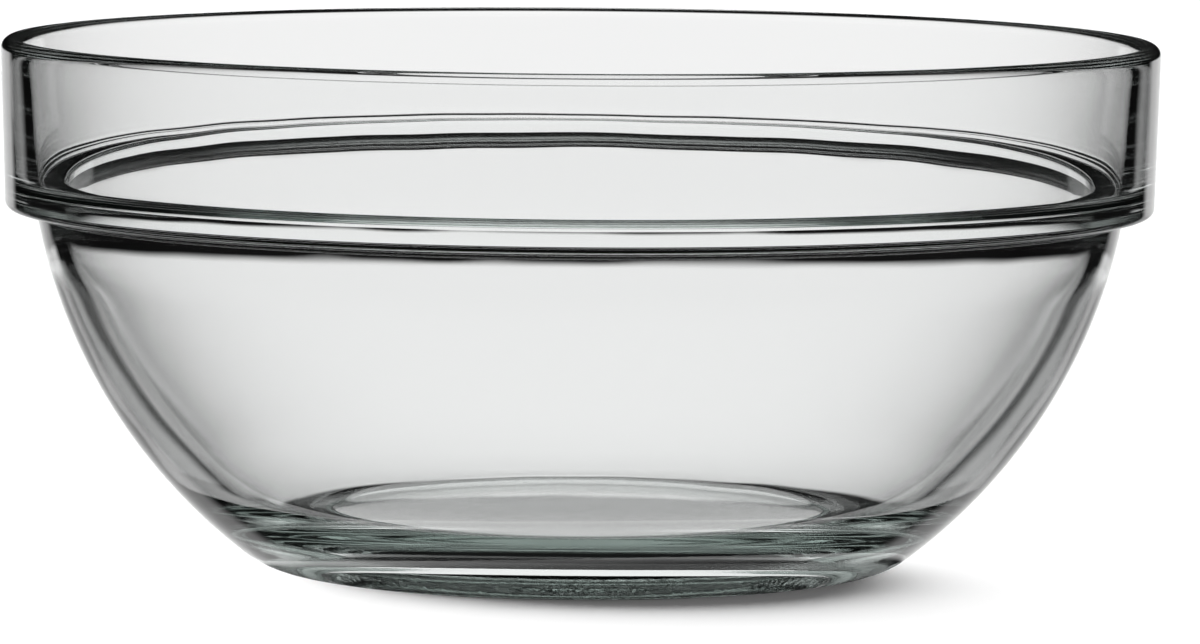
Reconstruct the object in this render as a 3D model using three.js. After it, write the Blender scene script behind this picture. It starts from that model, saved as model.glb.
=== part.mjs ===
// Stackable glass salad bowl, pressed as one piece of clear glass.
// Millimetres, +Z up, the origin at the centre of the base on the table.
import * as THREE from "three";

// Overall size
const rimDiameter = 230;
const height = 105.6;
const footDiameter = 111; // outer edge of the flat ring that stands on the table

// Band under the rim
const bandHeight = 33.7; // from the rim down to the band's lower corner
const bandOverhang = 7; // from the round wall out to the rim, at the height of that corner
const stackingGap = 2.6; // play round the wall of a second bowl stacked inside the rim
const bandOuterDraft = 1.8; // degrees that the outer face leans out towards the rim
const bandInnerDraft = 5; // degrees that the inner face leans out towards the rim
const bandCornerRounding = 1.6;
const undersideSlope = 9.8; // degrees that the band's underside falls towards the wall
const stepHollow = 1.1; // hollow rounding between the underside and the wall

// Stacking ledge inside the band
const shoulderThickness = 4.7; // from the band's lower corner up to the ledge's inner edge
const ledgeSlope = 4.6; // degrees that the ledge falls towards its inner edge
const ledgeHollow = 1.6;
const ledgeEdgeRounding = 1.2;
const neckInset = 1.6; // how far the upright neck stands inside the line of the round wall

// Wall, floor and foot
const wallThickness = 4.25;
const wallThickening = 3.1; // extra glass that the wall gains on its way down to the base
const floorThickness = 8.9; // from the table up to the inside floor
const floorRounding = 40;
const heelRounding = 18.5;
const ringWidth = 4;
const ringSlopeWidth = 1; // run of the slope from the ring up into the hollow of the base
const ringRounding = 0.9;
const baseHollow = 3; // depth of the hollow inside the ring

// Fineness of the facets
const facetsAround = 72;
const chordTolerance = 0.08;

// Every stretch of the section is a list of points: x is the distance from the axis, y the height

function point(x, y) {
  return new THREE.Vector2(x, y);
}

function pointOnCircle(centre, radius, angle) {
  return point(centre.x + radius * Math.cos(angle), centre.y + radius * Math.sin(angle));
}

function arc(centre, radius, from, to) {
  const finestStep = Math.sqrt((8 * chordTolerance) / radius);
  const steps = Math.max(1, Math.ceil(Math.abs(to - from) / finestStep));
  const points = [];
  for (let i = 0; i <= steps; i += 1) {
    points.push(pointOnCircle(centre, radius, from + ((to - from) * i) / steps));
  }
  return points;
}

function directionFrom(centre, target) {
  return Math.atan2(target.y - centre.y, target.x - centre.x);
}

// A corner between two straight runs, rounded within half of the shorter run
function rounded(before, corner, after, radius) {
  const back = before.clone().sub(corner);
  const ahead = after.clone().sub(corner);
  const halfAngle = back.angleTo(ahead) / 2;
  const reach = Math.min(radius / Math.tan(halfAngle), back.length() / 2, ahead.length() / 2);
  const fittedRadius = reach * Math.tan(halfAngle);
  back.normalize();
  ahead.normalize();
  const middle = back.clone().add(ahead).normalize();
  const centre = corner.clone().addScaledVector(middle, fittedRadius / Math.sin(halfAngle));
  const from = directionFrom(centre, corner.clone().addScaledVector(back, reach));
  const to = directionFrom(centre, corner.clone().addScaledVector(ahead, reach));
  const sweep = Math.atan2(Math.sin(to - from), Math.cos(to - from));
  return arc(centre, fittedRadius, from, from + sweep);
}

// The circle centred on the axis that passes through a point and touches a smaller circle from outside
function circleOnAxis(through, inner) {
  const squares = through.lengthSq() - inner.centre.lengthSq() + inner.radius ** 2;
  const start = squares / (2 * inner.radius);
  const rate = (through.y - inner.centre.y) / inner.radius;
  const linear = start * rate - through.y;
  const constant = start ** 2 - through.lengthSq();
  const centreHeight = constant / (linear + Math.sqrt(linear ** 2 - (rate ** 2 - 1) * constant));
  return { centre: point(0, centreHeight), radius: start - rate * centreHeight };
}

// Foot: the hollow of the base, the ring round it, and the heel

const footRadius = footDiameter / 2;
const ringInnerRadius = footRadius - ringWidth;
const baseHollowRadius = ringInnerRadius - ringSlopeWidth;
const baseCentre = point(0, baseHollow);
const baseHollowCorner = point(baseHollowRadius, baseHollow);
const ringCorner = point(ringInnerRadius, 0);
const heel = { centre: point(footRadius, heelRounding), radius: heelRounding };

// Outer wall: round about the axis from the heel up to the band

const rimRadius = rimDiameter / 2;
const bandFoot = height - bandHeight;
const wallTop = point(rimRadius - bandOverhang, bandFoot);
const outerWall = circleOnAxis(wallTop, heel);
const heelTop = directionFrom(outerWall.centre, heel.centre);

// Rim and band: a fully rounded rim with a drafted face on either side

const rimRounding = (bandOverhang - stackingGap) / 2;
const rimCentre = point(rimRadius - rimRounding, height - rimRounding);
const outerDraft = THREE.MathUtils.degToRad(bandOuterDraft);
const innerDraft = THREE.MathUtils.degToRad(bandInnerDraft);
const outerFaceTop = pointOnCircle(rimCentre, rimRounding, -outerDraft);
const innerFaceTop = pointOnCircle(rimCentre, rimRounding, Math.PI - innerDraft);
const outerFaceRun = (outerFaceTop.y - bandFoot) * Math.tan(outerDraft);
const bandCorner = point(outerFaceTop.x - outerFaceRun, bandFoot);

// Step: the band's underside runs down to a hollow rounding that meets the wall

const underside = THREE.MathUtils.degToRad(undersideSlope);
const stepReach = outerWall.radius + stepHollow;
const stepDrop = (outerWall.centre.y - bandCorner.y) * Math.cos(underside);
const stepOffset = stepHollow + bandCorner.x * Math.sin(underside) + stepDrop;
const stepAngle = underside - Math.asin(stepOffset / stepReach);
const stepCentre = pointOnCircle(outerWall.centre, stepReach, stepAngle);
const undersideEnd = pointOnCircle(stepCentre, stepHollow, underside + Math.PI / 2);

// Inner wall: set in from the outer wall, with its centre raised so that the glass thickens downwards

const innerWall = {
  centre: point(0, outerWall.centre.y + wallThickening),
  radius: outerWall.radius - wallThickness,
};

// Ledge and neck: the inner wall turns upright under the ledge's rounded edge

const ledgeHeight = bandFoot + shoulderThickness;
const neckTop = ledgeHeight - ledgeEdgeRounding;
const wallAtNeck = Math.sqrt(innerWall.radius ** 2 - (innerWall.centre.y - neckTop) ** 2);
const neckRadius = wallAtNeck - neckInset;
const neckRounding = (wallAtNeck ** 2 - neckRadius ** 2) / (2 * (innerWall.radius - neckRadius));
const neckCentre = point(neckRadius - neckRounding, neckTop);
const neckFoot = directionFrom(innerWall.centre, neckCentre);
const ledgeRise = Math.tan(THREE.MathUtils.degToRad(ledgeSlope));
const innerRise = Math.tan(innerDraft);
const innerFaceDrop = innerFaceTop.y - ledgeHeight + neckRadius * ledgeRise;
const ledgeOuterRadius = (innerFaceTop.x - innerFaceDrop * innerRise) / (1 - ledgeRise * innerRise);
const ledgeOuterHeight = ledgeHeight + (ledgeOuterRadius - neckRadius) * ledgeRise;
const ledgeOuterCorner = point(ledgeOuterRadius, ledgeOuterHeight);
const ledgeInnerCorner = point(neckRadius, ledgeHeight);
const neckLine = point(neckRadius, neckTop - ledgeEdgeRounding);

// Inside floor: flat, with a wide rounding up into the wall

const floorRoundingHeight = floorThickness + floorRounding;
const floorRoundingReach = innerWall.radius - floorRounding;
const floorRoundingDrop = innerWall.centre.y - floorRoundingHeight;
const floorFlatRadius = Math.sqrt(floorRoundingReach ** 2 - floorRoundingDrop ** 2);
const floorCentre = point(floorFlatRadius, floorRoundingHeight);
const floorTop = directionFrom(innerWall.centre, floorCentre);

// Section of the glass, from the axis under the base, up the outside, over the rim and down the inside

const section = [
  [baseCentre],
  rounded(baseCentre, baseHollowCorner, ringCorner, ringRounding),
  rounded(baseHollowCorner, ringCorner, point(footRadius, 0), ringRounding),
  arc(heel.centre, heel.radius, -Math.PI / 2, heelTop),
  arc(outerWall.centre, outerWall.radius, heelTop, stepAngle),
  arc(stepCentre, stepHollow, stepAngle + Math.PI, underside + Math.PI / 2),
  rounded(undersideEnd, bandCorner, outerFaceTop, bandCornerRounding),
  arc(rimCentre, rimRounding, -outerDraft, Math.PI / 2),
  arc(rimCentre, rimRounding, Math.PI / 2, Math.PI - innerDraft),
  rounded(innerFaceTop, ledgeOuterCorner, ledgeInnerCorner, ledgeHollow),
  rounded(ledgeOuterCorner, ledgeInnerCorner, neckLine, ledgeEdgeRounding),
  arc(neckCentre, neckRounding, 0, neckFoot),
  arc(innerWall.centre, innerWall.radius, neckFoot, floorTop),
  arc(floorCentre, floorRounding, floorTop, -Math.PI / 2),
  [point(0, floorThickness)],
].flat();

// Stretches that meet share a point, which is kept once
const sharedPointGap = 0.001;
const outline = section.filter((here, i) => i === 0 || here.distanceTo(section[i - 1]) > sharedPointGap);

// The bowl is that section turned about the axis

const clearGlass = new THREE.MeshStandardMaterial({
  color: 0xe3efea,
  roughness: 0.03,
  metalness: 0,
  transparent: true,
  opacity: 0.35,
});

const bowl = new THREE.Mesh(new THREE.LatheGeometry(outline, facetsAround), clearGlass);
bowl.name = "bowl";
bowl.geometry.rotateX(Math.PI / 2);

const saladBowl = new THREE.Group();
saladBowl.add(bowl);

export default saladBowl;
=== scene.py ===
"""Glass salad bowl on a white studio floor: the glass, its material, the light and the camera."""
import math

import bpy
from mathutils import Matrix, Vector, noise


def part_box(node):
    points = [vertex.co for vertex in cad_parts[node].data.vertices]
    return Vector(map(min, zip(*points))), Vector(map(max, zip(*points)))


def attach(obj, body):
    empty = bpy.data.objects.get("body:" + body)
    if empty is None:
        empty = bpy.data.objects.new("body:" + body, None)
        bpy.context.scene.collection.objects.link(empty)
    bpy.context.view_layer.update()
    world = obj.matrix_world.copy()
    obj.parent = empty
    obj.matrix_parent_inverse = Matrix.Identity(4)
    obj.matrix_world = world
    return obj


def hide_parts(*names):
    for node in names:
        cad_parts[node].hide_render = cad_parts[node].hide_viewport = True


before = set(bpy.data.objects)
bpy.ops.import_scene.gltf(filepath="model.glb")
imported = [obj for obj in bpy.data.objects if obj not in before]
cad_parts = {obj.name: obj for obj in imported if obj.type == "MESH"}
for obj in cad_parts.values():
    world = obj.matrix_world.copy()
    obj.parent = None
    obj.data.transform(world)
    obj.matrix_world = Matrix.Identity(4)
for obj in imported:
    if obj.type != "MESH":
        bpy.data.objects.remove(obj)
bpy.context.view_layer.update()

MM = 0.001

# Sizes of the bowl in metres: the overall ones come from the frame, the rest repeat the solid's own values
BOWL_LOW, BOWL_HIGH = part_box("bowl")
RIM_RADIUS = (BOWL_HIGH.x - BOWL_LOW.x) / 2
HEIGHT = BOWL_HIGH.z
FOOT_RADIUS = 55.5 * MM
BAND_HEIGHT = 33.7 * MM
BAND_OVERHANG = 7 * MM
STACKING_GAP = 2.6 * MM
BAND_OUTER_DRAFT = math.radians(1.8)
BAND_INNER_DRAFT = math.radians(5)
BAND_CORNER_ROUNDING = 1.6 * MM
UNDERSIDE_SLOPE = math.radians(9.8)
STEP_HOLLOW = 1.1 * MM
SHOULDER_THICKNESS = 4.7 * MM
LEDGE_SLOPE = math.radians(4.6)
LEDGE_HOLLOW = 1.6 * MM
LEDGE_EDGE_ROUNDING = 1.2 * MM
NECK_INSET = 1.6 * MM
WALL_THICKNESS = 4.25 * MM
WALL_THICKENING = 3.1 * MM
FLOOR_THICKNESS = 8.9 * MM
FLOOR_ROUNDING = 40 * MM
HEEL_ROUNDING = 18.5 * MM
RING_WIDTH = 4 * MM
RING_SLOPE_WIDTH = 1 * MM
RING_ROUNDING = 0.9 * MM
BASE_HOLLOW = 3 * MM

# Fineness of the surface
FACETS_AROUND = 360
LONGEST_RUN = 1.4 * MM
WIDEST_TURN = math.radians(6)
SAME_POINT = 0.001 * MM

# Glass and its pressed surface, by zone of the section: grain is 0 to 1, ripples are metres deep and long
GLASS_IOR = 1.52
GLASS_TINT = (0.77, 0.88, 0.84, 1)
GLASS_DENSITY = 8
GRAIN = {"floor": 0, "wall": 0, "band": 0, "ledge": 0, "step": 0.35, "ring": 0.7, "base": 0.2}
GRAIN_ROUGHNESS = 0.3
GRAIN_SIZE = 0.9 * MM
GRAIN_DEPTH = 0.05 * MM
SMEAR_ROUGHNESS = 0.012
SMEAR_SIZE = 30 * MM
MOTTLE_DETAIL = 2
RIPPLE = {
    "floor": 0.02 * MM,
    "wall": 0.03 * MM,
    "band": 0.04 * MM,
    "ledge": 0.015 * MM,
    "step": 0.04 * MM,
    "ring": 0,
    "base": 0,
}
RIPPLE_LENGTH = 14 * MM
INSIDE_SHIFT = 0.37  # sets the inside's ripples apart from the outside's

# Camera: where it stands, what it looks at, and how wide the picture is there
CAMERA_AT = Vector((4.18 * MM, -2.0, 0.222))
CAMERA_TARGET = Vector((4.18 * MM, 0, 49.2 * MM))
CAMERA_ROLL = math.radians(0.45)
PICTURE_WIDTH = 238.74 * MM
SENSOR_WIDTH = 36
FAR_CLIP = 100

# Light that the glass sees: a white field low behind the bowl, with dark flags to its left and right.
# Turns are counted from straight behind the bowl to either side, heights from the level.
# A pair of angles or lengths is a soft edge. A single number is a strength, where 1 is white.
FIELD = 0.97
FIELD_LOW = 1
LOW = (math.radians(-10), math.radians(-5))
FIELD_TOP = (math.radians(-3), math.radians(-0.5))
FIELD_BOTTOM = (math.radians(-38), math.radians(-29))

# The low field dims to either side and comes back farther round
FIELD_TURN = (math.radians(2), math.radians(18))
FIELD_ASIDE = 0.5
FIELD_FAR = (math.radians(30), math.radians(45))

# Past the field's end, and steeply below, only rays that pass straight through the glass see white
FIELD_END = (math.radians(38), math.radians(46))
FIELD_REST = 0.93
STEEP = (math.radians(-66), math.radians(-58))

# Flags, which reach farther round above FLAG_LOW than below it
FLAG_START = (math.radians(21), math.radians(27))
FLAG_END_HIGH = (math.radians(56), math.radians(64))
FLAG_END_LOW = (math.radians(37), math.radians(41))
FLAG_LOW = (math.radians(-20), math.radians(-14))

# Dim room, and light overhead, whose strength grows with the turns that a ray has made in thick glass
NEAR_FLOOR = 0.03
NEAR_FLOOR_START = (math.radians(60), math.radians(100))
ROOM = 0.004
OVERHEAD = (0.04, 0.6)
TURNS_IN_THICK_GLASS = (3, 4)
OVERHEAD_EDGE = (math.radians(40), math.radians(60))

# Counts of turns and of surfaces crossed that tell rays apart
NO_TURN_YET = 0.5
ONE_WALL = 2.5

# Painted floor that the glass sees inside its ring, under it and round it, as glowing discs: painted light
# inside the ring, painted shade under it and a painted contact shadow round it; a level is a lower and an
# upper height
UNDER_BASE = 1
UNDER_BASE_LEVEL = (-0.15 * MM, -0.1 * MM)
UNDER_RING = 0.06
UNDER_RING_LEVEL = (-0.22 * MM, -0.18 * MM)
# Painted contact shadow: darkest round the foot, shifted to the front, brightening to the field at its edge
CONTACT_LIGHT = 0.01
CONTACT_LEVEL = (-0.3 * MM, -0.25 * MM)
CONTACT_EDGE = (63.5 * MM, 66 * MM)
CONTACT_SHIFT = (2 * MM, -6 * MM)
SHADE_STEP = 5  # degrees between the corners of a round shade

# Light on the floor
EVEN_LIGHT = 0.15
KEY_LIGHT = 9.5
KEY_TOWARDS = (-150, 25)  # degrees
KEY_EDGE = (math.radians(10), math.radians(42))
FLOOR_PAINT = 0.95
FLOOR_ROUGHNESS = 0.8
FLOOR_LIFT = 0.02
FLOOR_REACH = 15
FLOOR_HEIGHT = -0.2 * MM
FOOT_SHADE_HEIGHT = 18 * MM

# Most turns of a light path, enough to leave thick glass
MAX_BOUNCES = 24
GLOSSY_BOUNCES = 16
TRANSMISSION_BOUNCES = 24


def on_circle(centre, radius, angle):
    return Vector((centre.x + radius * math.cos(angle), centre.y + radius * math.sin(angle)))


def direction(centre, target):
    return math.atan2(target.y - centre.y, target.x - centre.x)


def arc(centre, radius, start, end):
    """Points along an arc, spaced by the widest turn and by the longest run."""
    sweep = abs(end - start)
    steps = max(1, math.ceil(max(sweep / WIDEST_TURN, sweep * radius / LONGEST_RUN)))
    return [on_circle(centre, radius, start + (end - start) * i / steps) for i in range(steps + 1)]


def rounded(before, corner, after, radius):
    """Points along the rounding of a corner between two straight runs."""
    back = (before - corner).normalized()
    ahead = (after - corner).normalized()
    half_angle = back.angle(ahead) / 2
    reach = radius / math.tan(half_angle)
    centre = corner + (back + ahead).normalized() * (radius / math.sin(half_angle))
    start = direction(centre, corner + back * reach)
    end = direction(centre, corner + ahead * reach)
    sweep = math.atan2(math.sin(end - start), math.cos(end - start))
    return arc(centre, radius, start, start + sweep)


def circle_on_axis(through, inner_centre, inner_radius):
    """Centre and radius of the circle on the axis through a point that touches a smaller circle."""
    squares = through.length_squared - inner_centre.length_squared + inner_radius ** 2
    start = squares / (2 * inner_radius)
    rate = (through.y - inner_centre.y) / inner_radius
    linear = start * rate - through.y
    constant = start ** 2 - through.length_squared
    height = constant / (linear + math.sqrt(linear ** 2 - (rate ** 2 - 1) * constant))
    return Vector((0, height)), start - rate * height


def bowl_section():
    """The section as (zone, points) stretches, from under the base round to the inside floor."""
    ring_inner = FOOT_RADIUS - RING_WIDTH
    base_centre = Vector((0, BASE_HOLLOW))
    hollow_corner = Vector((ring_inner - RING_SLOPE_WIDTH, BASE_HOLLOW))
    ring_corner = Vector((ring_inner, 0))
    foot_edge = Vector((FOOT_RADIUS, 0))
    heel_centre = Vector((FOOT_RADIUS, HEEL_ROUNDING))

    band_foot = HEIGHT - BAND_HEIGHT
    wall_top = Vector((RIM_RADIUS - BAND_OVERHANG, band_foot))
    wall_centre, wall_radius = circle_on_axis(wall_top, heel_centre, HEEL_ROUNDING)
    heel_top = direction(wall_centre, heel_centre)

    rim_rounding = (BAND_OVERHANG - STACKING_GAP) / 2
    rim_centre = Vector((RIM_RADIUS - rim_rounding, HEIGHT - rim_rounding))
    outer_face_top = on_circle(rim_centre, rim_rounding, -BAND_OUTER_DRAFT)
    inner_face_top = on_circle(rim_centre, rim_rounding, math.pi - BAND_INNER_DRAFT)
    outer_face_run = (outer_face_top.y - band_foot) * math.tan(BAND_OUTER_DRAFT)
    band_corner = Vector((outer_face_top.x - outer_face_run, band_foot))

    step_reach = wall_radius + STEP_HOLLOW
    step_drop = (wall_centre.y - band_corner.y) * math.cos(UNDERSIDE_SLOPE)
    step_offset = STEP_HOLLOW + band_corner.x * math.sin(UNDERSIDE_SLOPE) + step_drop
    step_angle = UNDERSIDE_SLOPE - math.asin(step_offset / step_reach)
    step_centre = on_circle(wall_centre, step_reach, step_angle)
    step_end = UNDERSIDE_SLOPE + math.pi / 2
    underside_end = on_circle(step_centre, STEP_HOLLOW, step_end)
    corner_rounding = rounded(underside_end, band_corner, outer_face_top, BAND_CORNER_ROUNDING)

    inner_centre = Vector((0, wall_centre.y + WALL_THICKENING))
    inner_radius = wall_radius - WALL_THICKNESS
    ledge_height = band_foot + SHOULDER_THICKNESS
    neck_top = ledge_height - LEDGE_EDGE_ROUNDING
    wall_at_neck = math.sqrt(inner_radius ** 2 - (inner_centre.y - neck_top) ** 2)
    neck_radius = wall_at_neck - NECK_INSET
    neck_rounding = (wall_at_neck ** 2 - neck_radius ** 2) / (2 * (inner_radius - neck_radius))
    neck_centre = Vector((neck_radius - neck_rounding, neck_top))
    neck_foot = direction(inner_centre, neck_centre)
    ledge_rise = math.tan(LEDGE_SLOPE)
    inner_rise = math.tan(BAND_INNER_DRAFT)
    inner_face_drop = inner_face_top.y - ledge_height + neck_radius * ledge_rise
    ledge_outer = (inner_face_top.x - inner_face_drop * inner_rise) / (1 - ledge_rise * inner_rise)
    ledge_outer_corner = Vector((ledge_outer, ledge_height + (ledge_outer - neck_radius) * ledge_rise))
    ledge_inner_corner = Vector((neck_radius, ledge_height))
    neck_line = Vector((neck_radius, neck_top - LEDGE_EDGE_ROUNDING))

    rounding_height = FLOOR_THICKNESS + FLOOR_ROUNDING
    rounding_drop = inner_centre.y - rounding_height
    flat_radius = math.sqrt((inner_radius - FLOOR_ROUNDING) ** 2 - rounding_drop ** 2)
    floor_centre = Vector((flat_radius, rounding_height))
    floor_top = direction(inner_centre, floor_centre)

    return [
        ("base", [base_centre]),
        ("base", rounded(base_centre, hollow_corner, ring_corner, RING_ROUNDING)),
        ("ring", rounded(hollow_corner, ring_corner, foot_edge, RING_ROUNDING)),
        ("ring", [foot_edge]),
        ("wall", arc(heel_centre, HEEL_ROUNDING, -math.pi / 2, heel_top)),
        ("wall", arc(wall_centre, wall_radius, heel_top, step_angle)),
        ("step", arc(step_centre, STEP_HOLLOW, step_angle + math.pi, step_end)),
        ("step", corner_rounding[:1]),
        ("band", corner_rounding),
        ("band", arc(rim_centre, rim_rounding, -BAND_OUTER_DRAFT, math.pi / 2)),
        ("band", arc(rim_centre, rim_rounding, math.pi / 2, math.pi - BAND_INNER_DRAFT)),
        ("ledge", rounded(inner_face_top, ledge_outer_corner, ledge_inner_corner, LEDGE_HOLLOW)),
        ("ledge", rounded(ledge_outer_corner, ledge_inner_corner, neck_line, LEDGE_EDGE_ROUNDING)),
        ("wall", arc(neck_centre, neck_rounding, 0, neck_foot)),
        ("wall", arc(inner_centre, inner_radius, neck_foot, floor_top)),
        ("floor", arc(floor_centre, FLOOR_ROUNDING, floor_top, -math.pi / 2)),
        ("floor", [Vector((0, FLOOR_THICKNESS))]),
    ]


def fine_outline():
    """The section as one list of (zone, point), with straight runs divided and shared points kept once."""
    outline = []
    for zone, points in bowl_section():
        for here in points:
            if not outline:
                outline.append((zone, here))
                continue
            last = outline[-1][1]
            run = (here - last).length
            if run < SAME_POINT:
                continue
            steps = math.ceil(run / LONGEST_RUN)
            for i in range(1, steps + 1):
                outline.append((zone, last.lerp(here, i / steps)))
    return outline


def into_glass(outline, i):
    """The direction that leads into the glass at a point of the outline."""
    before = outline[max(i - 1, 0)][1]
    after = outline[min(i + 1, len(outline) - 1)][1]
    along = (after - before).normalized()
    return Vector((-along.y, along.x))


def turned_glass(name):
    """The bowl: the fine outline turned about the axis, with slight ripples pressed into the glass."""
    outline = fine_outline()
    rim = max(range(len(outline)), key=lambda i: outline[i][1].y)
    verts = []
    rings = []
    grain = []
    for n, (zone, point) in enumerate(outline):
        start = len(verts)
        if point.x < SAME_POINT:
            verts.append((0, 0, point.y))
            rings.append([start] * FACETS_AROUND)
            grain.append(GRAIN[zone])
            continue
        inward = into_glass(outline, n)
        shift = INSIDE_SHIFT if n > rim else 0
        for i in range(FACETS_AROUND):
            angle = 2 * math.pi * i / FACETS_AROUND
            turned = Vector((point.x * math.cos(angle), point.x * math.sin(angle), point.y + shift))
            depth = RIPPLE[zone] * (1 + noise.noise(turned / RIPPLE_LENGTH)) / 2
            here = point + inward * depth
            verts.append((here.x * math.cos(angle), here.x * math.sin(angle), here.y))
            grain.append(GRAIN[zone])
        rings.append(list(range(start, start + FACETS_AROUND)))
    faces = []
    for lower, upper in zip(rings, rings[1:]):
        for i in range(FACETS_AROUND):
            j = (i + 1) % FACETS_AROUND
            corners = (lower[i], lower[j], upper[j], upper[i])
            faces.append(tuple(dict.fromkeys(corners)))
    mesh = bpy.data.meshes.new(name)
    mesh.from_pydata(verts, [], faces)
    mesh.update()
    mesh.polygons.foreach_set("use_smooth", [True] * len(mesh.polygons))
    mesh.attributes.new("grain", "FLOAT", "POINT").data.foreach_set("value", grain)
    bowl = bpy.data.objects.new(name, mesh)
    bpy.context.scene.collection.objects.link(bowl)
    return bowl


def clear_glass():
    """Clear glass that turns green only along a deep path."""
    material = bpy.data.materials.new("clear_glass")
    material.use_nodes = True
    nodes = material.node_tree.nodes
    links = material.node_tree.links
    surface = nodes["Principled BSDF"]
    surface.inputs["Base Color"].default_value = (1, 1, 1, 1)
    surface.inputs["IOR"].default_value = GLASS_IOR
    surface.inputs["Transmission Weight"].default_value = 1
    depth = nodes.new("ShaderNodeVolumeAbsorption")
    depth.inputs["Color"].default_value = GLASS_TINT
    depth.inputs["Density"].default_value = GLASS_DENSITY
    links.new(depth.outputs["Volume"], nodes["Material Output"].inputs["Volume"])
    place = nodes.new("ShaderNodeTexCoord").outputs["Object"]
    grain = nodes.new("ShaderNodeAttribute")
    grain.attribute_name = "grain"
    smear = mottle(nodes, links, place, SMEAR_SIZE)
    amount = grain.outputs["Fac"]
    pressed = sum_up(nodes, links, "MULTIPLY", amount, amount, GRAIN_ROUGHNESS)
    smeared = sum_up(nodes, links, "MULTIPLY", smear, SMEAR_ROUGHNESS)
    links.new(sum_up(nodes, links, "ADD", pressed, smeared), surface.inputs["Roughness"])
    bump = nodes.new("ShaderNodeBump")
    bump.inputs["Distance"].default_value = GRAIN_DEPTH
    links.new(amount, bump.inputs["Strength"])
    links.new(mottle(nodes, links, place, GRAIN_SIZE), bump.inputs["Height"])
    links.new(bump.outputs["Normal"], surface.inputs["Normal"])
    return material


def mottle(nodes, links, place, size):
    """A socket of soft uneven noise from 0 to 1, with patches of a given size."""
    texture = nodes.new("ShaderNodeTexNoise")
    texture.inputs["Scale"].default_value = 1 / size
    texture.inputs["Detail"].default_value = MOTTLE_DETAIL
    links.new(place, texture.inputs["Vector"])
    return texture.outputs["Fac"]


def feed(links, socket, value):
    """Sets a socket to a plain number, or links another socket to it."""
    if isinstance(value, (int, float)):
        socket.default_value = value
    else:
        links.new(value, socket)


def soft_step(nodes, links, value, edge, low, high):
    """A socket that runs smoothly from low to high as a value runs over an edge."""
    step = nodes.new("ShaderNodeMapRange")
    step.interpolation_type = "SMOOTHSTEP"
    step.inputs["From Min"].default_value = edge[0]
    step.inputs["From Max"].default_value = edge[1]
    feed(links, step.inputs["To Min"], low)
    feed(links, step.inputs["To Max"], high)
    links.new(value, step.inputs["Value"])
    return step.outputs["Result"]


def sum_up(nodes, links, operation, *values):
    """A socket for a chain of sums, products or the like of sockets and plain numbers."""
    total = values[0]
    for value in values[1:]:
        node = nodes.new("ShaderNodeMath")
        node.operation = operation
        feed(links, node.inputs[0], total)
        feed(links, node.inputs[1], value)
        total = node.outputs["Value"]
    return total


def worked_out(nodes, links, operation, value):
    """A socket for a function of one socket."""
    node = nodes.new("ShaderNodeMath")
    node.operation = operation
    links.new(value, node.inputs[0])
    return node.outputs["Value"]


def blended(nodes, links, factor, first, second):
    """A socket between two values; each is a socket or a plain number."""
    mix = nodes.new("ShaderNodeMix")
    links.new(factor, mix.inputs["Factor"])
    feed(links, mix.inputs["A"], first)
    feed(links, mix.inputs["B"], second)
    return mix.outputs["Result"]


def studio_floor():
    """A wide white floor that keeps the shadow. The glass sees the lower part of the world in its place."""
    half = FLOOR_REACH
    corners = [(-half, -half, 0), (half, -half, 0), (half, half, 0), (-half, half, 0)]
    mesh = bpy.data.meshes.new("studio_floor")
    mesh.from_pydata(corners, [], [(0, 1, 2, 3)])
    floor = bpy.data.objects.new("studio_floor", mesh)
    floor.location.z = FLOOR_HEIGHT
    floor.visible_glossy = False
    floor.visible_transmission = False
    bpy.context.scene.collection.objects.link(floor)
    material = bpy.data.materials.new("white_floor")
    material.use_nodes = True
    nodes = material.node_tree.nodes
    links = material.node_tree.links
    paint = nodes["Principled BSDF"]
    paint.inputs["Base Color"].default_value = (FLOOR_PAINT, FLOOR_PAINT, FLOOR_PAINT, 1)
    paint.inputs["Roughness"].default_value = FLOOR_ROUGHNESS
    paint.inputs["Specular IOR Level"].default_value = 0
    paint.inputs["Emission Color"].default_value = (1, 1, 1, 1)
    path = nodes.new("ShaderNodeLightPath")
    lift = sum_up(nodes, links, "MULTIPLY", path.outputs["Is Camera Ray"], FLOOR_LIFT)
    links.new(lift, paint.inputs["Emission Strength"])
    mesh.materials.append(material)


def round_shade(name, radius, low, high, light):
    """A short upright drum, black with a glow of a set strength, that stays out of the picture; its glow is
    painted light or shade for the rays that see it.
    """
    steps = [math.radians(angle) for angle in range(0, 360, SHADE_STEP)]
    rim = [(radius * math.cos(angle), radius * math.sin(angle)) for angle in steps]
    count = len(rim)
    verts = [(x, y, low) for x, y in rim] + [(x, y, high) for x, y in rim]
    sides = [(i, (i + 1) % count, count + (i + 1) % count, count + i) for i in range(count)]
    mesh = bpy.data.meshes.new(name)
    mesh.from_pydata(verts, [], sides + [tuple(range(count)), tuple(range(count, 2 * count))])
    shade = bpy.data.objects.new(name, mesh)
    shade.visible_camera = False
    bpy.context.scene.collection.objects.link(shade)
    material = bpy.data.materials.new(name)
    material.use_nodes = True
    paint = material.node_tree.nodes["Principled BSDF"]
    paint.inputs["Base Color"].default_value = (0, 0, 0, 1)
    paint.inputs["Specular IOR Level"].default_value = 0
    paint.inputs["Emission Color"].default_value = (1, 1, 1, 1)
    paint.inputs["Emission Strength"].default_value = light
    mesh.materials.append(material)
    return shade


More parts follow.
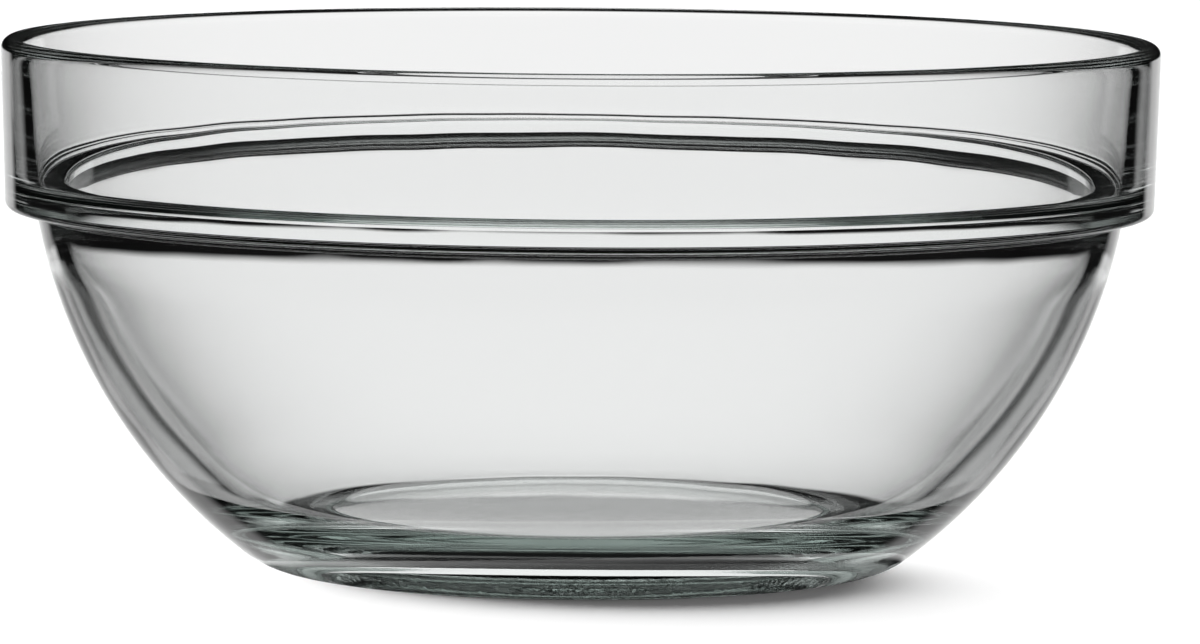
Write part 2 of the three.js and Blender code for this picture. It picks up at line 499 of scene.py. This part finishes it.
def floor_shades():
    """The glass sees painted light under its base, painted shade under its ring and a painted contact
    shadow round its foot, from glowing discs; the floor sees the dark foot drum, as the wall passes light.
    """
    # Painted light: a disc glowing white under the base hollow, seen only by the glass
    under = round_shade("painted_light_under_base", FOOT_RADIUS - RING_WIDTH, *UNDER_BASE_LEVEL, UNDER_BASE)
    # Painted shade: a dim glowing disc under the ring, seen only by the glass
    ring = round_shade("painted_shade_under_ring", FOOT_RADIUS, *UNDER_RING_LEVEL, UNDER_RING)
    # Painted shadow: a dark glowing disc round the foot, seen only by the glass, shifted to the front and
    # fading to the field
    contact = round_shade("painted_shadow_round_foot", CONTACT_EDGE[1], *CONTACT_LEVEL, CONTACT_LIGHT)
    contact.location.xy = CONTACT_SHIFT
    nodes = contact.active_material.node_tree.nodes
    links = contact.active_material.node_tree.links
    reach = nodes.new("ShaderNodeVectorMath")
    reach.operation = "LENGTH"
    links.new(nodes.new("ShaderNodeTexCoord").outputs["Object"], reach.inputs[0])
    light = soft_step(nodes, links, reach.outputs["Value"], CONTACT_EDGE, CONTACT_LIGHT, FIELD)
    links.new(light, nodes["Principled BSDF"].inputs["Emission Strength"])
    for seen_by_glass in (under, ring, contact):
        seen_by_glass.visible_diffuse = False
        seen_by_glass.visible_shadow = False
    foot = round_shade("shade_of_foot", FOOT_RADIUS, 0, FOOT_SHADE_HEIGHT, 0)
    foot.visible_glossy = False
    foot.visible_transmission = False


def patch(nodes, links, ray, towards, edge, level):
    """A soft round patch of sky; towards is the turn from the camera's side and the height, in degrees."""
    turn, height = map(math.radians, towards)
    nearness = nodes.new("ShaderNodeVectorMath")
    nearness.operation = "DOT_PRODUCT"
    links.new(ray, nearness.inputs[0])
    flat = math.cos(height)
    nearness.inputs[1].default_value = (flat * math.sin(turn), -flat * math.cos(turn), math.sin(height))
    near_edge = (math.cos(edge[1]), math.cos(edge[0]))
    return soft_step(nodes, links, nearness.outputs["Value"], near_edge, 0, level)


def glass_surroundings(nodes, links, ray, path):
    """What a ray from the glass sees: the white field, its flags, the near floor and the light overhead."""
    parts = nodes.new("ShaderNodeSeparateXYZ")
    links.new(ray, parts.inputs["Vector"])
    across = worked_out(nodes, links, "ABSOLUTE", parts.outputs["X"])
    turn = sum_up(nodes, links, "ARCTAN2", across, parts.outputs["Y"])
    height = worked_out(nodes, links, "ARCSINE", parts.outputs["Z"])
    turns = path.outputs["Glossy Depth"]
    surfaces = path.outputs["Transmission Depth"]

    flag_end_high = soft_step(nodes, links, turn, FLAG_END_HIGH, 1, 0)
    flag_end_low = soft_step(nodes, links, turn, FLAG_END_LOW, 1, 0)
    flag_end = soft_step(nodes, links, height, FLAG_LOW, flag_end_low, flag_end_high)
    flag = sum_up(nodes, links, "MULTIPLY", soft_step(nodes, links, turn, FLAG_START, 0, 1), flag_end)
    unflagged = sum_up(nodes, links, "SUBTRACT", 1, flag)

    aside = soft_step(nodes, links, turn, FIELD_TURN, FIELD_LOW, FIELD_ASIDE)
    aside = soft_step(nodes, links, turn, FIELD_FAR, aside, FIELD_LOW)
    level = soft_step(nodes, links, height, LOW, aside, FIELD)
    below_top = soft_step(nodes, links, height, FIELD_TOP, level, 0)
    above_bottom = soft_step(nodes, links, height, FIELD_BOTTOM, 0, 1)
    straight = sum_up(nodes, links, "LESS_THAN", turns, NO_TURN_YET)
    rest = sum_up(nodes, links, "MULTIPLY", straight, FIELD_REST)
    ending = soft_step(nodes, links, turn, FIELD_END, 1, rest)
    field = sum_up(nodes, links, "MULTIPLY", below_top, above_bottom, unflagged, ending)

    one_wall = sum_up(nodes, links, "LESS_THAN", surfaces, ONE_WALL)
    floor_below = sum_up(nodes, links, "MULTIPLY", rest, one_wall)
    steep = soft_step(nodes, links, height, STEEP, floor_below, 0)
    near_floor = soft_step(nodes, links, turn, NEAR_FLOOR_START, 0, NEAR_FLOOR)
    near_floor = sum_up(nodes, links, "MULTIPLY", near_floor, below_top)
    overhead = soft_step(nodes, links, turns, TURNS_IN_THICK_GLASS, *OVERHEAD)
    overhead = soft_step(nodes, links, height, OVERHEAD_EDGE, ROOM, overhead)
    return sum_up(nodes, links, "MAXIMUM", field, steep, near_floor, overhead)


def studio_world():
    """White for the camera, the surroundings for the glass, and an even light and a key for the floor."""
    world = bpy.data.worlds.new("studio")
    bpy.context.scene.world = world
    world.use_nodes = True
    nodes = world.node_tree.nodes
    links = world.node_tree.links
    ray = nodes.new("ShaderNodeTexCoord").outputs["Generated"]
    key = patch(nodes, links, ray, KEY_TOWARDS, KEY_EDGE, KEY_LIGHT)
    on_floor = sum_up(nodes, links, "ADD", key, EVEN_LIGHT)
    path = nodes.new("ShaderNodeLightPath")
    glossy = path.outputs["Is Glossy Ray"]
    in_glass = sum_up(nodes, links, "MAXIMUM", glossy, path.outputs["Is Transmission Ray"])
    from_camera = sum_up(nodes, links, "LESS_THAN", path.outputs["Diffuse Depth"], NO_TURN_YET)
    in_glass = sum_up(nodes, links, "MULTIPLY", in_glass, from_camera)
    shade = blended(nodes, links, in_glass, on_floor, glass_surroundings(nodes, links, ray, path))
    seen = blended(nodes, links, path.outputs["Is Camera Ray"], shade, 1)
    background = nodes["Background"]
    background.inputs["Color"].default_value = (1, 1, 1, 1)
    links.new(seen, background.inputs["Strength"])


def camera():
    """The camera at the photograph's place, tilted slightly as it was."""
    lens = bpy.data.cameras.new("camera")
    view = bpy.data.objects.new("camera", lens)
    view.location = CAMERA_AT
    line = CAMERA_TARGET - CAMERA_AT
    turn = line.to_track_quat("-Z", "Y").to_matrix() @ Matrix.Rotation(CAMERA_ROLL, 3, "Z")
    view.rotation_mode = "QUATERNION"
    view.rotation_quaternion = turn.to_quaternion()
    lens.sensor_width = SENSOR_WIDTH
    lens.lens = SENSOR_WIDTH * line.length / PICTURE_WIDTH
    lens.clip_end = FAR_CLIP
    bpy.context.scene.collection.objects.link(view)
    bpy.context.scene.camera = view


bowl = turned_glass("glass_bowl")
bowl.data.materials.append(clear_glass())
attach(bowl, "root")
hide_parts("bowl")

# Clear glass passes nearly all light, so the floor sees only the shade of the foot
bowl.visible_diffuse = False
bowl.visible_shadow = False

studio_floor()
floor_shades()
studio_world()
camera()

bpy.context.scene.view_settings.view_transform = "Standard"
light_paths = bpy.context.scene.cycles
light_paths.max_bounces = MAX_BOUNCES
light_paths.glossy_bounces = GLOSSY_BOUNCES
light_paths.transmission_bounces = TRANSMISSION_BOUNCES
